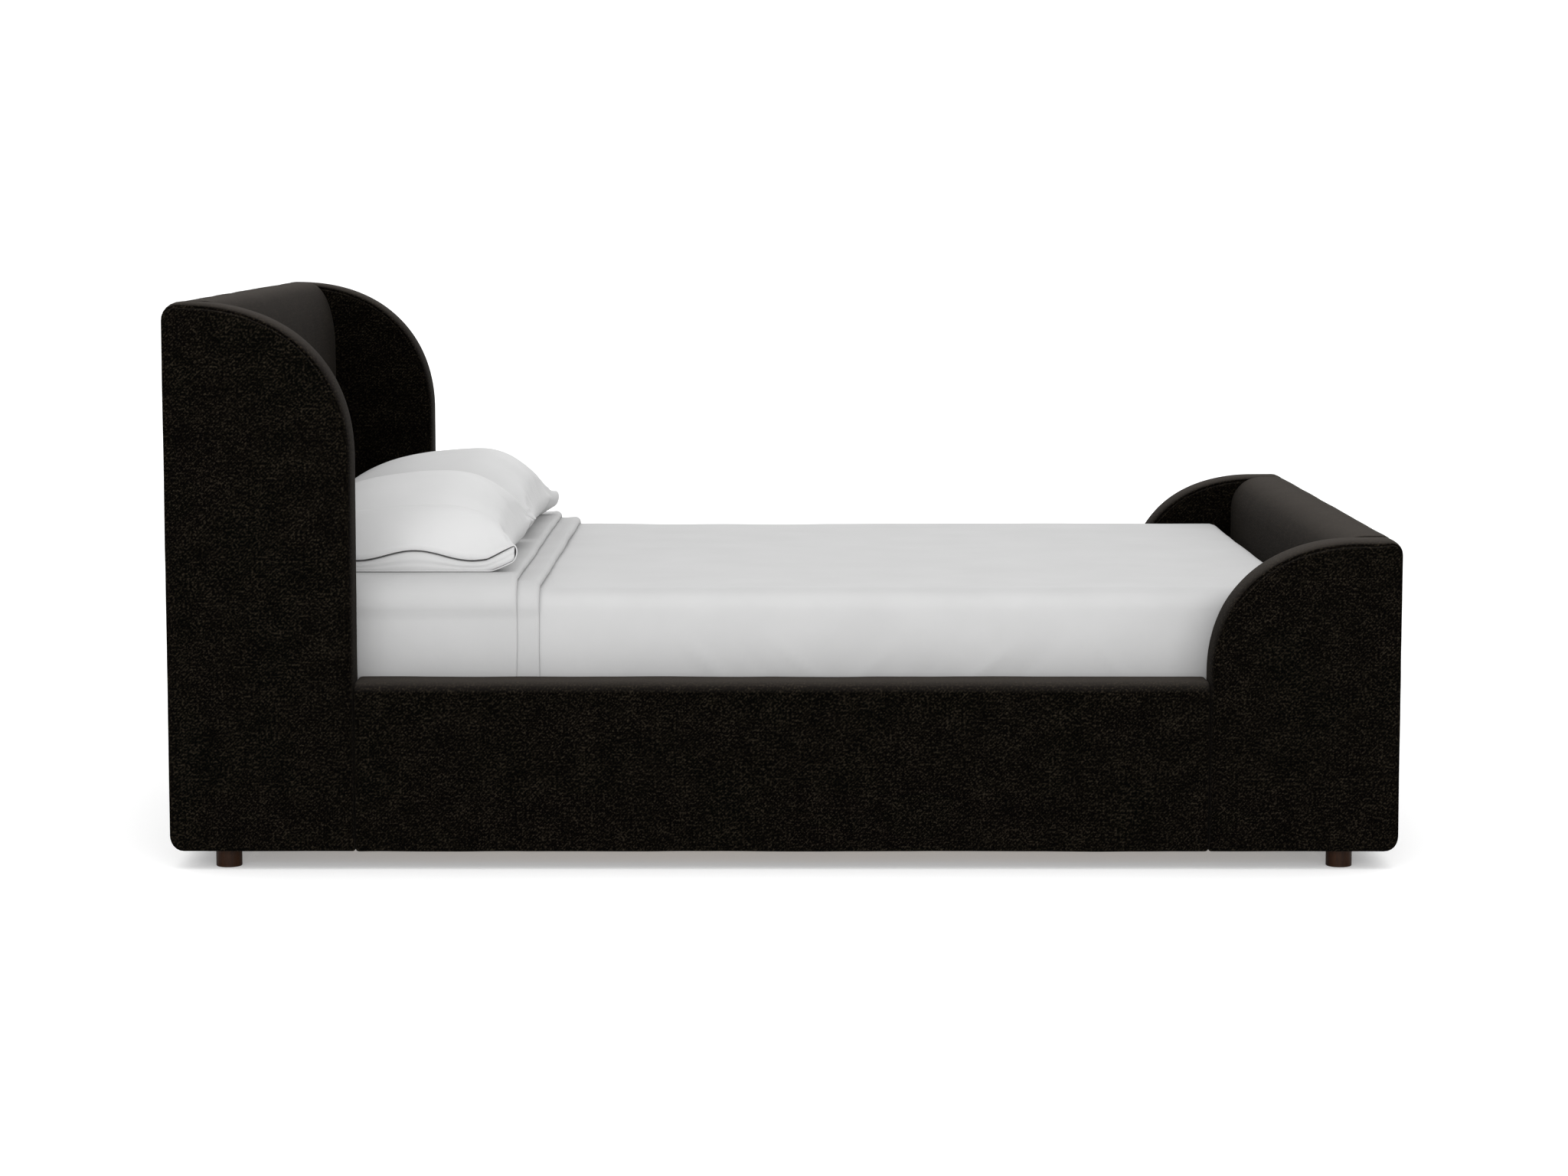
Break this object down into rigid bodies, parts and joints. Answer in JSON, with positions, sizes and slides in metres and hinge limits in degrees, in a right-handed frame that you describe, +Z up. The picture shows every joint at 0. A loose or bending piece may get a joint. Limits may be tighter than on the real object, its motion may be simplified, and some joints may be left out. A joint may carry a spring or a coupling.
{
  "type": "sleigh bed",
  "caption": "Upholstered sleigh bed with a winged curved headboard, a lower matching footboard, padded side rails, slatted deck, mattress, coverlet and pillows.",
  "frame": {"origin": "on the floor, under the middle of the bed's length and width", "axes": "+X from the head to the foot, +Y to the right side as seen from the foot, +Z up"},
  "size_m": [2.394, 1.778, 1.103],
  "materials": {
    "upholstery_fabric": "matte",
    "upholstery_foam": "matte",
    "frame_timber": "matte",
    "deck_timber": "matte",
    "dark_walnut": "satin",
    "black_steel": "satin",
    "zinc_steel": "satin",
    "black_plastic": "matte",
    "mattress_ticking": "matte",
    "white_coverlet": "matte",
    "white_sheet": "matte",
    "white_pillowcase": "matte",
    "pillow_ticking": "matte"
  },
  "bodies": {
    "bed_frame": {"beam_brackets": "black_steel", "centre_beam": "deck_timber", "centre_leg_1": "deck_timber", "centre_leg_2": "deck_timber", "cleat_left": "deck_timber", "cleat_right": "deck_timber", "foot_wing_left_core": "frame_timber", "foot_wing_left_cover": "upholstery_fabric", "foot_wing_left_foam": "upholstery_foam", "foot_wing_right_core": "frame_timber", "foot_wing_right_cover": "upholstery_fabric", "foot_wing_right_foam": "upholstery_foam", "footboard_back_cover": "upholstery_fabric", "footboard_cover": "upholstery_fabric", "footboard_foam": "upholstery_foam", "footboard_frame": "frame_timber", "head_wing_left_core": "frame_timber", "head_wing_left_cover": "upholstery_fabric", "head_wing_left_foam": "upholstery_foam", "head_wing_right_core": "frame_timber", "head_wing_right_cover": "upholstery_fabric", "head_wing_right_foam": "upholstery_foam", "headboard_back_cover": "upholstery_fabric", "headboard_cover": "upholstery_fabric", "headboard_foam": "upholstery_foam", "headboard_frame": "frame_timber", "leg_bolts": "zinc_steel", "leg_foot_left": "dark_walnut", "leg_foot_right": "dark_walnut", "leg_head_left": "dark_walnut", "leg_head_right": "dark_walnut", "rail_joining_plates": "black_steel", "rail_plate_bolts": "zinc_steel", "side_rail_left_cover": "upholstery_fabric", "side_rail_left_foam": "upholstery_foam", "side_rail_left_frame": "frame_timber", "side_rail_right_cover": "upholstery_fabric", "side_rail_right_foam": "upholstery_foam", "side_rail_right_frame": "frame_timber", "slat_01": "deck_timber", "slat_02": "deck_timber", "slat_03": "deck_timber", "slat_04": "deck_timber", "slat_05": "deck_timber", "slat_06": "deck_timber", "slat_07": "deck_timber", "slat_08": "deck_timber", "slat_09": "deck_timber", "slat_10": "deck_timber", "slat_11": "deck_timber", "wing_bolts": "zinc_steel"},
    "mattress": {"mattress": "mattress_ticking", "coverlet": "white_coverlet", "top_sheet": "white_sheet"},
    "pillow_left": {"pillow_insert_left": "pillow_ticking", "pillowcase_left": "white_pillowcase"},
    "pillow_right": {"pillow_insert_right": "pillow_ticking", "pillowcase_right": "white_pillowcase"},
    "glide_1": {"levelling_glide_1": "black_plastic"},
    "glide_2": {"levelling_glide_2": "black_plastic"}
  },
  "joints": [
    {"name": "mattress_lift", "type": "slide", "parent": "bed_frame", "child": "mattress", "axis": [0, 0, 1], "range_m": [0, 0.45]},
    {"name": "pillow_left_lift", "type": "slide", "parent": "mattress", "child": "pillow_left", "axis": [0, 0, 1], "range_m": [0, 0.3]},
    {"name": "pillow_right_lift", "type": "slide", "parent": "mattress", "child": "pillow_right", "axis": [0, 0, 1], "range_m": [0, 0.3]},
    {"name": "glide_1_screw", "type": "slide", "parent": "bed_frame", "child": "glide_1", "axis": [0, 0, 1], "range_m": [0, 0.012]},
    {"name": "glide_2_screw", "type": "slide", "parent": "bed_frame", "child": "glide_2", "axis": [0, 0, 1], "range_m": [0, 0.012]}
  ]
}
